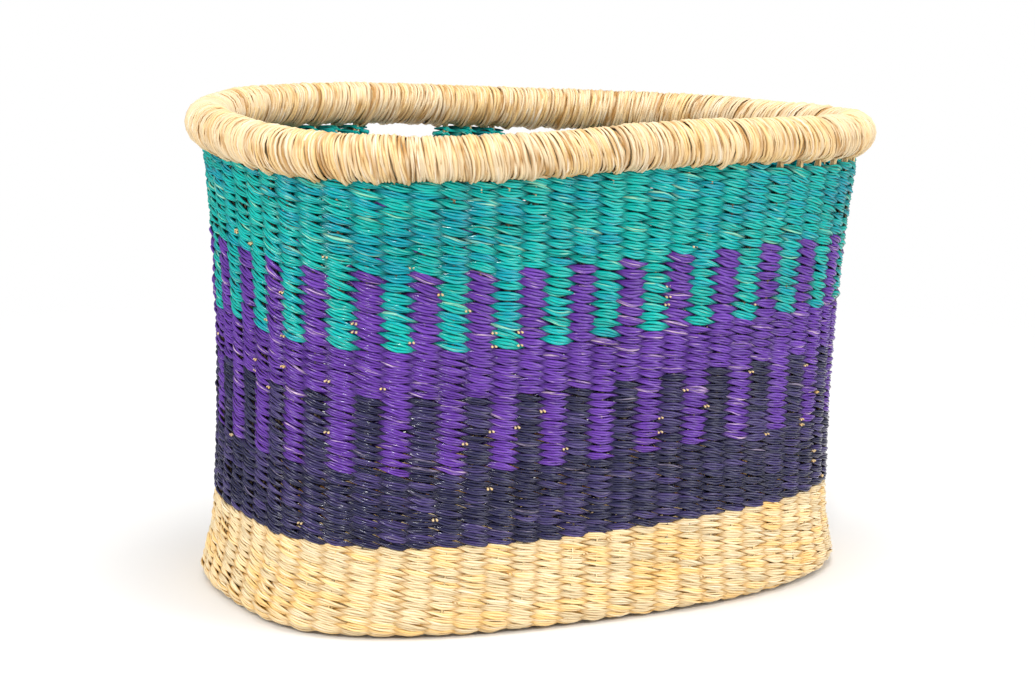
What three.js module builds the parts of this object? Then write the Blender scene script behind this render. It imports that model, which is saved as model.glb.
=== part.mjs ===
// A woven bicycle basket of dyed and natural grass. The wall is twined over standing stakes in
// five colour zones, and it carries a thick bundle of straw that a strand is wound round.
// Sizes are millimetres. X runs across the basket, the two strap slots are at +Y, and Z is up.
import * as THREE from "three";

// Plan, measured on the rim's centre line
const rimSpan = 355;
const frontDepth = 97.5;
const backDepth = 147.5;
const frontSquareness = 2.48;
const backSquareness = 3;

// Heights of the colour zones, from the floor up
const naturalHeight = 50;
const navyHeight = 40;
const navyStripeHeight = 40;
const purpleHeight = 24.5;
const tealStripeHeight = 40;
const tealHeight = 42;

// Wall
const wallThickness = 7;
const columnCount = 64;
const bandGap = 0.3;
const toothGap = 0.4;
const waistHeight = 100;
const waistGirthShare = 0.976;
const topFlareShare = 0.044;
const bellyHeight = 45;
const bellyGirthShare = 0.038;

// Rounded foot, where the wall turns under and meets the floor of the basket
const footRise = 9;
const footTuck = 7.5;
const footLipWidth = 30;
const floorThickness = 7;
const cornerFillet = 3;
const floorGap = 0.6;

// Stakes, which stand in grooves in the wall's inner side
const stakeDiameter = 4.4;
const stakeSides = 4;
const stakeClearance = 0.35;
const stakeFootHeight = 18;
const grooveFlare = 0.3;

// Strap slots, each cut down from the wall's top edge between two stakes
const slotDepth = 25;
const slotColumnCount = 3;
const slotSpacingColumns = 6;
const firstSlotColumn = 27;

// Rim
const rimCoreDiameter = 19.4;
const rimStrandThickness = 1.1;
const rimStrandClearance = 1;
const rimToWall = 4;
const rimWindingTurns = 24;
const rimWindingGap = 0.8;
const windingStartShare = 0.5;

// Unevenness of the hand-made form: how far the rim rises and drops round its length, how
// far the wall leans over its height, and how far the plan is pulled towards two corners
const rimRiseFront = 2.2;
const rimDropRight = 3.6;
const rimRiseMiddles = 1.6;
const rimRiseCorners = 3.2;
const rowRiseCorners = 2.6;
const leanRight = 4;
const leanFront = 2.2;
const footPull = 2.2;
const rimPull = 3.8;

// Spacing of the columns round the plan, as shares of its length
const columnShiftShare = -0.0246;
const columnBunchShare = -0.011;
const columnDriftShare = -0.0016;
const columnSpreadShare = -0.0062;
const columnStretchShare = 0.0023;

// Fineness of the facets
const lengthSamples = 2880;
const windingSteps = 12;
const windingStrips = 4;
const rimSegments = 72;
const rimSides = 8;

// Worked out from the values above
const navyFrom = naturalHeight;
const navyStripeFrom = navyFrom + navyHeight;
const purpleFrom = navyStripeFrom + navyStripeHeight;
const tealStripeFrom = purpleFrom + purpleHeight;
const tealFrom = tealStripeFrom + tealStripeHeight;
const wallTop = tealFrom + tealHeight;
const slotFloor = wallTop - slotDepth;
const windingInnerRadius = rimCoreDiameter / 2 + rimStrandClearance;
const rimRadius = windingInnerRadius + rimStrandThickness;
const rimHeight = wallTop + rimToWall + rimRadius;
const grooveWidth = stakeDiameter + 2 * stakeClearance;
const grooveDepth = stakeDiameter + 2 * stakeClearance;
const stakeInset = wallThickness - grooveDepth / 2;

const straw = { color: 0xe8cf94, roughness: 0.75, metalness: 0 };
const strawDark = { color: 0xd9b877, roughness: 0.8, metalness: 0 };
const navy = { color: 0x2a2d55, roughness: 0.7, metalness: 0 };
const purple = { color: 0x6638a3, roughness: 0.65, metalness: 0 };
const teal = { color: 0x0a9f9b, roughness: 0.65, metalness: 0 };

// The bearing of a plan point, from the middle of the front towards +X.
function bearing(x, y) {
  return Math.atan2(x, -y);
}

// How much the rim rises above its mean height at a bearing.
function rimRise(at) {
  return (
    rimRiseFront * Math.cos(at) -
    rimDropRight * Math.sin(at) +
    rimRiseMiddles * Math.cos(2 * at) +
    rimRiseCorners * Math.sin(2 * at)
  );
}

// The wall's girth at a height, as a share of the rim's centre line: a waist, a flare above
// it and a belly at the foot.
function girthShare(height) {
  const aboveWaist = (height - waistHeight) / (wallTop - waistHeight);
  const intoBelly = Math.max(0, 1 - height / bellyHeight);
  return waistGirthShare + topFlareShare * aboveWaist ** 2 + bellyGirthShare * intoBelly ** 2;
}

// A point of the plan: turn runs once round it, girth scales it, and inset moves the point in
// from it. The height is the level one, before the wall's top edge rises and drops.
function place(turn, girth, inset, height) {
  const sine = Math.sin(turn);
  const cosine = Math.cos(turn);
  const squareness = cosine > 0 ? frontSquareness : backSquareness;
  const across = (rimSpan / 2) * girth;
  const along = (cosine > 0 ? frontDepth : backDepth) * girth;
  const x = across * Math.sign(sine) * Math.abs(sine) ** (2 / squareness);
  const y = -along * Math.sign(cosine) * Math.abs(cosine) ** (2 / squareness);

  const slopeX = (Math.sign(x) * Math.abs(x / across) ** (squareness - 1)) / across;
  const slopeY = (Math.sign(y) * Math.abs(y / along) ** (squareness - 1)) / along;
  const normal = new THREE.Vector2(slopeX, slopeY).normalize();

  const at = bearing(x, y);
  const climb = Math.min(height, wallTop) / wallTop;
  const rowRise = rowRiseCorners * Math.sin(2 * at) * 4 * climb * (1 - climb);
  const pull = (footPull + (rimPull - footPull) * climb) * Math.sin(2 * at);
  const outward = new THREE.Vector2(x, y).normalize().multiplyScalar(pull);
  const point = new THREE.Vector2(x, y).add(outward).addScaledVector(normal, -inset);
  return {
    point: new THREE.Vector3(
      point.x + leanRight * climb,
      point.y - leanFront * climb,
      height + rimRise(at) * climb ** 2 + rowRise,
    ),
    normal,
  };
}

// The turn at each share of a plan's length, measured on the plan at one height.
function evenTurns(girth, height) {
  const lengths = [0];
  let last = place(0, girth, 0, height).point;
  for (let i = 1; i <= lengthSamples; i += 1) {
    const next = place((i / lengthSamples) * 2 * Math.PI, girth, 0, height).point;
    lengths.push(lengths[i - 1] + next.distanceTo(last));
    last = next;
  }
  const length = lengths[lengthSamples];
  function turnAt(share) {
    const rounds = Math.floor(share);
    const target = (share - rounds) * length;
    let low = 0;
    let high = lengthSamples;
    while (high - low > 1) {
      const middle = Math.floor((low + high) / 2);
      if (lengths[middle] > target) high = middle;
      else low = middle;
    }
    const part = (target - lengths[low]) / (lengths[high] - lengths[low]);
    return (rounds + (low + part) / lengthSamples) * 2 * Math.PI;
  }
  return { length, turnAt };
}

const wallPlan = evenTurns(girthShare(purpleFrom), purpleFrom);
const rimPlan = evenTurns(1, rimHeight);

// The share of the wall's length at a column, which need not be a whole one. Columns stand
// wider apart at the ends of the basket.
function columnShare(column) {
  const turn = (column / columnCount) * 2 * Math.PI;
  return (
    column / columnCount +
    columnShiftShare +
    columnBunchShare * Math.cos(turn) +
    columnDriftShare * Math.sin(turn) +
    columnSpreadShare * Math.sin(2 * turn) +
    columnStretchShare * Math.cos(2 * turn)
  );
}

// A mesh from points and the corners of its triangles, with its faces turned outwards.
function closedMesh(name, points, triangles, finish) {
  let volume = 0;
  for (const [a, b, c] of triangles) {
    volume += points[a].dot(points[b].clone().cross(points[c]));
  }
  const corners = volume < 0 ? triangles.map(([a, b, c]) => [a, c, b]) : triangles;
  const geometry = new THREE.BufferGeometry().setFromPoints(points);
  geometry.setIndex(corners.flat());
  geometry.computeVertexNormals();
  const mesh = new THREE.Mesh(geometry, new THREE.MeshStandardMaterial(finish));
  mesh.name = name;
  return mesh;
}

// One row of a band: a height and inset for the wall's outer face and for its inner face,
// how deep the stakes' grooves are there, and which columns end in teeth there.
function row(height, teeth, options = {}) {
  return {
    teeth,
    outer: { height, inset: 0 },
    inner: { height, inset: wallThickness },
    groove: grooveDepth,
    ...options,
  };
}

// Whether a column is one of the even ones or one of the odd ones.
function isOf(column, teeth) {
  return (column % 2 === 0) === (teeth === "even");
}

// A ring of the wall, built from cells. Each cell is one column wide and reaches from a row to
// the next, and the cells that filled() leaves out make the teeth and the slots.
function wallBand(name, rows, filled, finish) {
  const points = [];
  const triangles = [];
  const known = new Map();

  // The edge between two columns, moved towards the column that has no tooth.
  function edgeShare(column, teeth) {
    const side = isOf(column, teeth) ? 1 : -1;
    return columnShare(column - 1 / 2) + (side * toothGap) / 2 / wallPlan.length;
  }

  // Stations across a cell's outer and inner faces, with how deep each lies in the wall.
  function stations(rowIndex, column) {
    const { teeth, groove } = rows[rowIndex];
    const left = edgeShare(column, teeth);
    const right = edgeShare(column + 1, teeth);
    const centre = columnShare(column);
    const key = (part) => rowIndex + " " + column + " " + part;
    const nextKey = rowIndex + " " + ((column + 1) % columnCount) + " left";
    const outer = [
      { key: key("left") + " outer", share: left, depth: 0 },
      { key: key("centre") + " outer", share: centre, depth: 0 },
      { key: nextKey + " outer", share: right, depth: 0 },
    ];
    const inner = [{ key: key("left") + " inner", share: left, depth: 0 }];
    if (column % 2 === 0) {
      const mouth = (grooveWidth / 2 + grooveFlare) / wallPlan.length;
      const bed = grooveWidth / 2 / wallPlan.length;
      inner.push(
        { key: key("mouth left"), share: centre - mouth, depth: 0 },
        { key: key("bed left"), share: centre - bed, depth: groove },
        { key: key("bed right"), share: centre + bed, depth: groove },
        { key: key("mouth right"), share: centre + mouth, depth: 0 },
      );
    }
    inner.push({ key: nextKey + " inner", share: right, depth: 0 });
    return { outer, inner };
  }

  function vertex(rowIndex, face, station) {
    if (!known.has(station.key)) {
      const { height, inset } = rows[rowIndex][face];
      const girth = girthShare(Math.max(height, footRise));
      const turn = wallPlan.turnAt(station.share);
      known.set(station.key, points.length);
      points.push(place(turn, girth, inset - station.depth, height).point);
    }
    return known.get(station.key);
  }

  function quad(a, b, c, d) {
    triangles.push([a, b, c], [a, c, d]);
  }

  // The flat end of a cell, at its lower row or its upper one. Its outline is laid out flat,
  // with the outer face bowed a little so that no three points are in line.
  function cap(rowIndex, column, upper) {
    const { outer, inner } = stations(rowIndex, column);
    const outline = [];
    const corners = [];
    for (const [i, station] of outer.entries()) {
      const bow = i === 1 ? wallThickness / 8 : 0;
      outline.push(new THREE.Vector2(station.share * wallPlan.length, bow));
      corners.push(vertex(rowIndex, "outer", station));
    }
    for (const station of [...inner].reverse()) {
      const depth = station.depth > 0 ? grooveDepth : 0;
      const deep = station.key.includes("bed") ? grooveDepth : depth;
      outline.push(new THREE.Vector2(station.share * wallPlan.length, deep - wallThickness));
      corners.push(vertex(rowIndex, "inner", station));
    }
    for (const [i, j, k] of THREE.ShapeUtils.triangulateShape(outline, [])) {
      const side = outline[j].clone().sub(outline[i]).cross(outline[k].clone().sub(outline[i]));
      const turned = side < 0 !== upper;
      triangles.push(
        turned ? [corners[i], corners[k], corners[j]] : [corners[i], corners[j], corners[k]],
      );
    }
  }

  for (let low = 0; low < rows.length - 1; low += 1) {
    const high = low + 1;
    for (let column = 0; column < columnCount; column += 1) {
      if (!filled(low, column)) continue;
      const below = stations(low, column);
      const above = stations(high, column);
      const faces = {};
      for (const face of ["outer", "inner"]) {
        const lower = below[face].map((station) => vertex(low, face, station));
        const upper = above[face].map((station) => vertex(high, face, station));
        faces[face] = { lower, upper };
        for (let i = 0; i + 1 < lower.length; i += 1) {
          if (face === "outer") quad(lower[i], lower[i + 1], upper[i + 1], upper[i]);
          else quad(lower[i + 1], lower[i], upper[i], upper[i + 1]);
        }
      }
      const { outer, inner } = faces;
      const before = (column + columnCount - 1) % columnCount;
      const after = (column + 1) % columnCount;
      if (!filled(low, before)) {
        quad(inner.lower[0], outer.lower[0], outer.upper[0], inner.upper[0]);
      }
      if (!filled(low, after)) {
        quad(outer.lower.at(-1), inner.lower.at(-1), inner.upper.at(-1), outer.upper.at(-1));
      }
      if (low === 0 || !filled(low - 1, column)) cap(low, column, false);
      if (high === rows.length - 1 || !filled(high, column)) cap(high, column, true);
    }
  }
  return closedMesh(name, points, triangles, finish);
}

// The band at the foot turns under in a quarter of an ellipse and ends in a flat lip.
function footRow(height, innerHeight, innerInset) {
  const drop = 1 - height / footRise;
  return row(height, "even", {
    outer: { height, inset: footTuck * (1 - Math.sqrt(1 - drop ** 2)) },
    inner: { height: innerHeight, inset: innerInset },
    groove: 0,
  });
}

function naturalBand() {
  const lip = row(0, "even", {
    outer: { height: 0, inset: footLipWidth },
    inner: { height: floorThickness, inset: footLipWidth },
    groove: 0,
  });
  const fillet = wallThickness + cornerFillet;
  const rows = [
    lip,
    footRow(0, floorThickness, fillet + cornerFillet * 2),
    footRow(footRise / 7, floorThickness + cornerFillet / 3, fillet + cornerFillet / 2),
    footRow(footRise / 2, floorThickness + cornerFillet, fillet - cornerFillet / 2),
    row(footRise, "even", { inner: { height: stakeFootHeight - cornerFillet, inset: wallThickness } }),
    row(navyFrom - bandGap / 2, "even"),
  ];
  return wallBand("natural_band", rows, () => true, straw);
}

// Navy rises in teeth at the even columns, between the purple ones.
function navyBand() {
  const rows = [
    row(navyFrom + bandGap / 2, "even"),
    row(navyStripeFrom - bandGap / 2, "even"),
    row(purpleFrom - bandGap / 2, "even"),
  ];
  const filled = (low, column) => low === 0 || isOf(column, "even");
  return wallBand("navy_band", rows, filled, navy);
}

// Purple reaches down at the odd columns and up at the even ones.
function purpleBand() {
  const rows = [
    row(navyStripeFrom + bandGap / 2, "odd"),
    row(purpleFrom + bandGap / 2, "odd"),
    row(tealStripeFrom - bandGap / 2, "even"),
    row(tealFrom - bandGap / 2, "even"),
  ];
  const filled = (low, column) =>
    low === 1 || isOf(column, low === 0 ? "odd" : "even");
  return wallBand("purple_band", rows, filled, purple);
}

// Whether a column is one that a strap slot takes away.
function isSlot(column) {
  const fromFirst = column - firstSlotColumn;
  return [0, slotSpacingColumns].some(
    (start) => fromFirst >= start && fromFirst < start + slotColumnCount,
  );
}

// Teal reaches down at the odd columns, and its top edge holds the strap slots.
function tealBand() {
  const rows = [
    row(tealStripeFrom + bandGap / 2, "odd"),
    row(tealFrom + bandGap / 2, "odd"),
    row(slotFloor, "odd"),
    row(wallTop, "odd"),
  ];
  const filled = (low, column) => {
    if (low === 0) return isOf(column, "odd");
    return low === 1 || !isSlot(column);
  };
  return wallBand("teal_band", rows, filled, teal);
}

// The floor of the basket, which fills the lip of the band at the foot.
function baseFloor() {
  const points = [];
  const triangles = [];
  const rim = [];
  const count = columnCount * 2;
  for (let i = 0; i < count; i += 1) {
    const turn = wallPlan.turnAt(columnShare(i / 2));
    const inset = footLipWidth + floorGap;
    const low = place(turn, girthShare(footRise), inset, 0).point;
    const high = place(turn, girthShare(footRise), inset, floorThickness).point;
    points.push(low, high);
    rim.push(new THREE.Vector2(low.x, low.y));
  }
  for (let i = 0; i < count; i += 1) {
    const a = 2 * i;
    const b = 2 * ((i + 1) % count);
    triangles.push([a, b, b + 1], [a, b + 1, a + 1]);
  }
  for (const [i, j, k] of THREE.ShapeUtils.triangulateShape(rim, [])) {
    const side = rim[j].clone().sub(rim[i]).cross(rim[k].clone().sub(rim[i]));
    const [second, third] = side < 0 ? [k, j] : [j, k];
    triangles.push([2 * i, 2 * third, 2 * second]);
    triangles.push([2 * i + 1, 2 * second + 1, 2 * third + 1]);
  }
  return closedMesh("base_floor", points, triangles, straw);
}

// A stake stands in its groove from the foot to just under the winding, or to a slot's floor.
function stake(name, column) {
  const underRim = wallTop + rimToWall - bandGap;
  const top = isSlot(column) ? slotFloor : underRim;
  const levels = [
    stakeFootHeight,
    navyFrom,
    navyStripeFrom,
    purpleFrom,
    tealStripeFrom,
    tealFrom,
    ...(isSlot(column) ? [] : [slotFloor, wallTop]),
    top,
  ];
  const turn = wallPlan.turnAt(columnShare(column));
  const points = [];
  const triangles = [];
  for (const [i, height] of levels.entries()) {
    const girth = girthShare(Math.min(height, wallTop));
    const { point, normal } = place(turn, girth, stakeInset, height);
    for (let k = 0; k < stakeSides; k += 1) {
      const angle = ((k + 1 / 2) / stakeSides) * 2 * Math.PI;
      const out = (stakeDiameter / 2) * Math.cos(angle);
      const along = (stakeDiameter / 2) * Math.sin(angle);
      points.push(
        new THREE.Vector3(
          point.x + normal.x * out - normal.y * along,
          point.y + normal.y * out + normal.x * along,
          point.z,
        ),
      );
      if (i === 0) continue;
      const a = i * stakeSides + k;
      const b = i * stakeSides + ((k + 1) % stakeSides);
      triangles.push([a - stakeSides, b - stakeSides, b], [a - stakeSides, b, a]);
    }
  }
  const last = points.length - stakeSides;
  for (let k = 1; k + 1 < stakeSides; k += 1) {
    triangles.push([0, k + 1, k], [last, last + k, last + k + 1]);
  }
  return closedMesh(name, points, triangles, strawDark);
}

// A point of the rim's tube: share runs round the basket, angle round the tube.
function onRim(share, angle, radius) {
  const { point, normal } = place(rimPlan.turnAt(share), 1, 0, rimHeight);
  const out = radius * Math.cos(angle);
  return new THREE.Vector3(
    point.x + normal.x * out,
    point.y + normal.y * out,
    point.z + radius * Math.sin(angle),
  );
}

// The straw bundle inside the rim, a closed ring.
function rimCore() {
  const points = [];
  const triangles = [];
  const count = rimSegments * rimSides;
  for (let i = 0; i < rimSegments; i += 1) {
    for (let k = 0; k < rimSides; k += 1) {
      const angle = (k / rimSides) * 2 * Math.PI;
      points.push(onRim(i / rimSegments, angle, rimCoreDiameter / 2));
      const a = i * rimSides + k;
      const b = i * rimSides + ((k + 1) % rimSides);
      const c = (b + rimSides) % count;
      const d = (a + rimSides) % count;
      triangles.push([a, b, c], [a, c, d]);
    }
  }
  return closedMesh("rim_core", points, triangles, strawDark);
}

// The winding: one unbroken flat strand that goes round the bundle and along it.
function rimWrap() {
  const pitch = rimPlan.length / rimWindingTurns;
  const width = pitch - rimWindingGap;
  const steps = rimWindingTurns * windingSteps;
  const endGap = rimWindingGap / rimRadius;
  const perStep = 2 * (windingStrips + 1);
  const points = [];
  const triangles = [];
  for (let i = 0; i <= steps; i += 1) {
    const angle = (i / steps) * (2 * Math.PI * rimWindingTurns - endGap);
    const middle = (angle / (2 * Math.PI)) * pitch;
    for (const radius of [windingInnerRadius, rimRadius]) {
      for (let k = 0; k <= windingStrips; k += 1) {
        const along = middle + width * (k / windingStrips - 1 / 2);
        points.push(onRim(windingStartShare + along / rimPlan.length, angle, radius));
      }
    }
  }
  const section = [];
  for (let k = 0; k <= windingStrips; k += 1) section.push(k);
  for (let k = windingStrips; k >= 0; k -= 1) section.push(windingStrips + 1 + k);
  for (let i = 0; i < steps; i += 1) {
    for (const [k, from] of section.entries()) {
      const to = section[(k + 1) % section.length];
      const a = i * perStep + from;
      const b = i * perStep + to;
      triangles.push([a, a + perStep, b + perStep], [a, b + perStep, b]);
    }
  }
  const last = steps * perStep;
  for (let k = 0; k < windingStrips; k += 1) {
    const a = k;
    const b = windingStrips + 1 + k;
    triangles.push([a, a + 1, b + 1], [a, b + 1, b]);
    triangles.push([last + a, last + b + 1, last + a + 1], [last + a, last + b, last + b + 1]);
  }

  let least = Infinity;
  for (let i = 0; i + windingSteps <= steps; i += 1) {
    for (const first of [0, windingStrips + 1]) {
      const edge = points[i * perStep + first + windingStrips];
      for (let j = i + windingSteps - 1; j <= i + windingSteps + 1 && j <= steps; j += 1) {
        least = Math.min(least, edge.distanceTo(points[j * perStep + first]));
      }
    }
  }
  console.log("rim winding: least gap to itself " + least.toFixed(2) + " mm");
  return closedMesh("rim_wrap", points, triangles, straw);
}

const group = new THREE.Group();
group.add(baseFloor(), naturalBand(), navyBand(), purpleBand(), tealBand());
for (let column = 0; column < columnCount; column += 2) {
  group.add(stake("stake_" + String(column / 2 + 1).padStart(2, "0"), column));
}
group.add(rimCore(), rimWrap());

// The origin is the middle of the basket's box, on the floor.
const middle = new THREE.Box3().setFromObject(group).getCenter(new THREE.Vector3());
group.position.set(-middle.x, -middle.y, 0);

export default group;
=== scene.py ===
import math

import bpy
import numpy as np
from mathutils import Matrix, Vector


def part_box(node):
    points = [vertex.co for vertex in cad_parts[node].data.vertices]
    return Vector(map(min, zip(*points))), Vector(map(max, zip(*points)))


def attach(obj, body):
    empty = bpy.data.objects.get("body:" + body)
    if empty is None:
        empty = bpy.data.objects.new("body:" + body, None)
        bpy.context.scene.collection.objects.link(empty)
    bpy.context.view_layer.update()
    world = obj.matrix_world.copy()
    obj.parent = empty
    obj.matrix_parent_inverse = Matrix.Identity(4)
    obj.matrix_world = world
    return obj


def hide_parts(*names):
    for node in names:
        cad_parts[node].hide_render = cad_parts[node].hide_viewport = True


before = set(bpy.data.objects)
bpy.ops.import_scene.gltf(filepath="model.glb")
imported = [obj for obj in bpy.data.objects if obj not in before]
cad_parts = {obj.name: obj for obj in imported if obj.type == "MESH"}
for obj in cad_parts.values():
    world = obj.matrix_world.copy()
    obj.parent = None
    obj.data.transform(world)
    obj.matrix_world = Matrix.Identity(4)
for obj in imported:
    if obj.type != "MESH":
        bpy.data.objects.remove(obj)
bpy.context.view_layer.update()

# Sizes are millimetres until a mesh or a light is made, and metres from there on.
MM = 0.001

# Plan and wall, the same values as the solid model
RIM_SPAN = 355
FRONT_DEPTH = 97.5
BACK_DEPTH = 147.5
FRONT_SQUARENESS = 2.48
BACK_SQUARENESS = 3
WALL_THICKNESS = 7
WALL_TOP = 236.5
WAIST_HEIGHT = 100
WAIST_GIRTH_SHARE = 0.976
TOP_FLARE_SHARE = 0.044
BELLY_HEIGHT = 45
BELLY_GIRTH_SHARE = 0.038
FOOT_RISE = 9
FOOT_TUCK = 7.5
RIM_RADIUS = 11.8
RIM_HEIGHT = 252.3
COLUMNS = 64
WINDING_START_SHARE = 0.5

# How finely the form is measured: the points round a plan, the least distance from its middle that
# is reckoned with, a short step outwards, and a short step along and across a row
PLAN_POINTS = 2881
LEAST_REACH = 1
OUTWARD_STEP = 1
ROW_STEP = 0.02

# Twining: how far the strands swing to each side of the middle of the wall or the floor, how full
# they are as shares of the usual fullness, and how far a stem drifts outwards and inwards in all
WALL_SWING = 1.95
STRAW_SWING = 1.35
FLOOR_SWING = 1.6
STRAW_FULLNESS_SHARE = 1.06
FLOOR_FULLNESS_SHARE = 1.15
STEM_DRIFT = 1.4

# How far from the middle of its stake a stitch's pointed end lies: half a turn is one column
STITCH_END = 0.745 * math.pi

# The stems of a stitch, as shares of their row's pitch: their radius at the thin ends and at the
# middle, how far apart they lie, how far the outer ones lie back, and how far they slant, stray and sway
THIN_SHARE = 0.1
FULL_SHARE = 0.195
APART_SHARE = 0.36
LIE_BACK_SHARE = 0.07
SLANT_SHARES = (0.46, 0.54)
STRAY_SHARE = 0.2
SWAY_SHARE = 0.9

# A strand's section before it is scaled, and the rings that noise is read on: the larger the ring, the
# more often the stems drift and the rows sway in a round of the basket
SECTION_RADIUS = 1.0
DRIFT_RING = 11
SWAY_RING = 7

# Unevenness of the hand-made form, the same values as the solid model
RISE_FRONT = 2.2
DROP_RIGHT = 3.6
RISE_MIDDLES = 1.6
RISE_CORNERS = 3.2
ROW_RISE_CORNERS = 2.6
LEAN_RIGHT = 4
LEAN_FRONT = 2.2
FOOT_PULL = 2.2
RIM_PULL = 3.8
COLUMN_SHIFT_SHARE = -0.0246
COLUMN_BUNCH_SHARE = -0.011
COLUMN_DRIFT_SHARE = -0.0016
COLUMN_SPREAD_SHARE = -0.0062
COLUMN_STRETCH_SHARE = 0.0023

# Strap slots: how far down from the wall's top edge they reach, and their columns
SLOT_DEPTH = 25
SLOT_COLUMNS = ((27, 29), (33, 35))

# The rows on the wall's top edge, each from column to column: a full one, thin ones and a pale one
EDGE_ROW_COLUMNS = (42.0, 71.5)
THIN_EDGE_ROW_COLUMNS = ((13.0, 26.5), (29.5, 32.5), (35.5, 42.0))
PALE_ROW_COLUMNS = (61.0, 65.0)
THIN_ROW_SHARE = 0.6

# The rows of twining, zone by zone from the floor up: where a zone ends, and its rows
FOOT_ROWS = 3
FOOT_ROW_PITCH = 3.6
STRAW_TOP, STRAW_ROWS = 50, 11
NAVY_TOP, NAVY_ROWS = 90, 10
NAVY_TEETH_TOP, NAVY_TEETH_ROWS = 130, 10
PURPLE_TOP, PURPLE_ROWS = 154.5, 6
TEAL_TEETH_TOP, TEAL_TEETH_ROWS = 194.5, 8
TEAL_ROWS = 9

# The rows at the wall's top edge that the slots cut through, and the rows of the floor: how far
# in from the plan the first one lies, how far apart they are and how many there are
SLOT_ROWS = 5
FLOOR_START = 10.8
FLOOR_ROW_PITCH = 5
FLOOR_ROWS = 21
FLOOR_THINS_AT = 75

# Rim
RIM_TURNS = 560
RIM_STEMS = 2
STEPS_A_TURN = 18
STRAND_WIDTH = 1.85
STRAND_FLATNESS_SHARE = 0.7
BUNDLE_RADIUS = 10.4
BUNDLE_POINTS = 256

# The winding lies in lumps: how long they are, how far they lean and swell, and how wide and deep the
# seam between two of them is
LUMP_ENDS = 60
LUMP_DRAWS = 80
LUMP_LENGTHS = (24, 46)
LUMP_LEAN = 1.1
LUMP_SWELL = 0.35
SEAM_WIDTH = 1.6
SEAM_DEPTH = 0.9

# The winding's stems: how far they lean, how far they sag under the rim and how much that changes,
# how deep they sink into the bundle, how far they lift and drift, and how much their width changes
STRAND_LEAN = 3.0
STRAND_SAG = 1.7
SAG_CHANGE = 1.0
STRAND_SINK = 0.5
STRAND_LIFT = 0.65
STRAND_DRIFT = 0.95
WIDTH_CHANGE_SHARE = 0.4

# Stakes: their stems and the points along one, how far the stems lie beside the column's middle as a
# share of a column, and inwards as a share of their radius, how long a patch of one depth of painted
# shade on them is, and from how far below the wall's top edge they show under the rim with little painted
# shade
STAKE_STEMS = 3
STAKE_POINTS = 40
STAKE_STEM_RADIUS = 0.95
STEM_ASIDE_SHARE = 0.07
STEM_INWARD_SHARE = 0.3
STAKE_PATCH = 11
STAKE_SHOWS = 3

# The bindings at the slots' edges: how far beside the edge they lie and how wide they are, as shares
# of a column, and how deep they reach, as a share of half the wall's thickness
BINDING_TURNS = 9
BINDING_STEPS = 10
BINDING_RADIUS = 1.35
BINDING_ASIDE_SHARE = 0.14
BINDING_WIDTH_SHARE = 0.15
BINDING_DEPTH_SHARE = 0.8

# The trimmed ends of stems: the level of the lowest ones, how far from the wall's middle they start
# and end, how far they droop, and how far they lie and splay beside a column's edge, as shares of a
# column
TRIMMED_PAIRS = 150
TRIMMED_RADIUS = 0.65
TRIMMED_LOWEST = 8
TRIMMED_ROOT = 0.5
TRIMMED_REACHES = (2.0, 2.9)
TRIMMED_DROOP = 0.4
TRIMMED_ASIDE_SHARE = 0.055
TRIMMED_SPLAY_SHARE = 0.02

# How high the fibres stand, and how far their pattern moves on in a round of the bundle, in a turn of
# the winding or a binding, in a column, and from one row or stem to the next
FIBRE_HEIGHT = 0.4
BUNDLE_RUN = 9
WINDING_RUN = 0.05
BINDING_RUN = 0.03
COLUMN_RUN = 0.0154
ROW_RUN = 0.37
STEM_RUN = 0.11

# How fine the grass's patterns are: its fibres, the streaks that the dye missed, and the patches that
# lean to the second dye
FIBRE_WAVES = 220
STREAK_WAVES = 95
PATCH_WAVES = 26.0

# White surroundings: how bright they light the basket, how bright its gloss mirrors them, and how
# bright they are seen
SKY_LIGHT = 0.76
SKY_IN_GLOSS = 0.22
SKY_SEEN = 1.0

# The white paper: half of its side, and where it begins and ends to thin out
PAPER_HALF = 2000
PAPER_FADE_START = 350
PAPER_FADE_END = 900

# The lamps: where each stands, where it aims, how wide it is and its power in watts
LAMPS = {
    "key": ((-1200, -1900, 1700), (0, 0, 120), 300, 23),
    "fill": ((1700, -1800, 1300), (0, 0, 120), 1600, 31),
    "top": ((0, -300, 2200), (0, 0, 100), 800, 20),
    "left": ((-2000, 100, 1100), (0, 0, 120), 800, 17),
}

# The camera, as the photograph's outlines show: where it stands, its lens, how far it sees, and which
# way it heads, dips and rolls
CAMERA_PLACE = (-777.9, -1349.5, 443.95)
CAMERA_LENS = 99.34
SENSOR_WIDTH = 36
SIGHT_END = 20000
HEADING = math.radians(29.45)
DIP = math.radians(11.34)
ROLL = math.radians(0.84)


# Node trees


class Field:
    """A node's output, so that the maths of a node tree reads as a formula."""

    def __init__(self, tree, socket):
        self.tree = tree
        self.socket = socket

    def __add__(self, other):
        return self.tree.join("ADD", self, other)

    def __radd__(self, other):
        return self.tree.join("ADD", other, self)

    def __sub__(self, other):
        return self.tree.join("SUBTRACT", self, other)

    def __rsub__(self, other):
        return self.tree.join("SUBTRACT", other, self)

    def __mul__(self, other):
        return self.tree.join("MULTIPLY", self, other)

    def __rmul__(self, other):
        return self.tree.join("MULTIPLY", other, self)

    def __truediv__(self, other):
        return self.tree.join("DIVIDE", self, other)

    def __neg__(self):
        return self * -1

    def is_vector(self):
        return self.socket.type == "VECTOR"


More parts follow.
